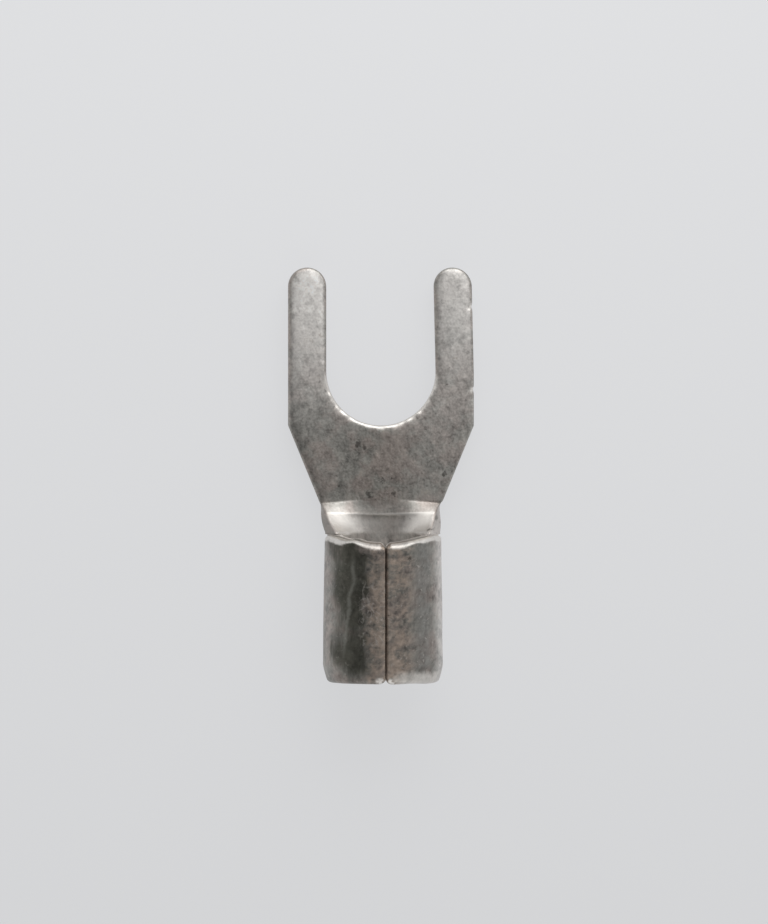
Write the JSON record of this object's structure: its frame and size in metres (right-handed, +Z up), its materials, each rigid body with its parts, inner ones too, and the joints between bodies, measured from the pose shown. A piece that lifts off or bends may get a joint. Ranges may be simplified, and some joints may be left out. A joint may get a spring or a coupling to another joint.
{
  "type": "fork terminal",
  "caption": "Uninsulated crimp fork terminal: a flat two-pronged sheet fork on a short curled neck and a rolled, butt-seamed wire barrel.",
  "frame": {"origin": "centre of the screw slot's round end, on the underside of the fork, the face that seats on a terminal block", "axes": "+Y along the prongs to their tips, +Z up through the fork to the side that the barrel's seam is on, +X to the right"},
  "size_m": [0.009, 0.02, 0.0057],
  "materials": {
    "tinned_copper": "satin electro-tinned copper, a warm mid grey, lightly tumbled and handled"
  },
  "bodies": {
    "root": {"fork_terminal": "tinned_copper"}
  },
  "joints": []
}
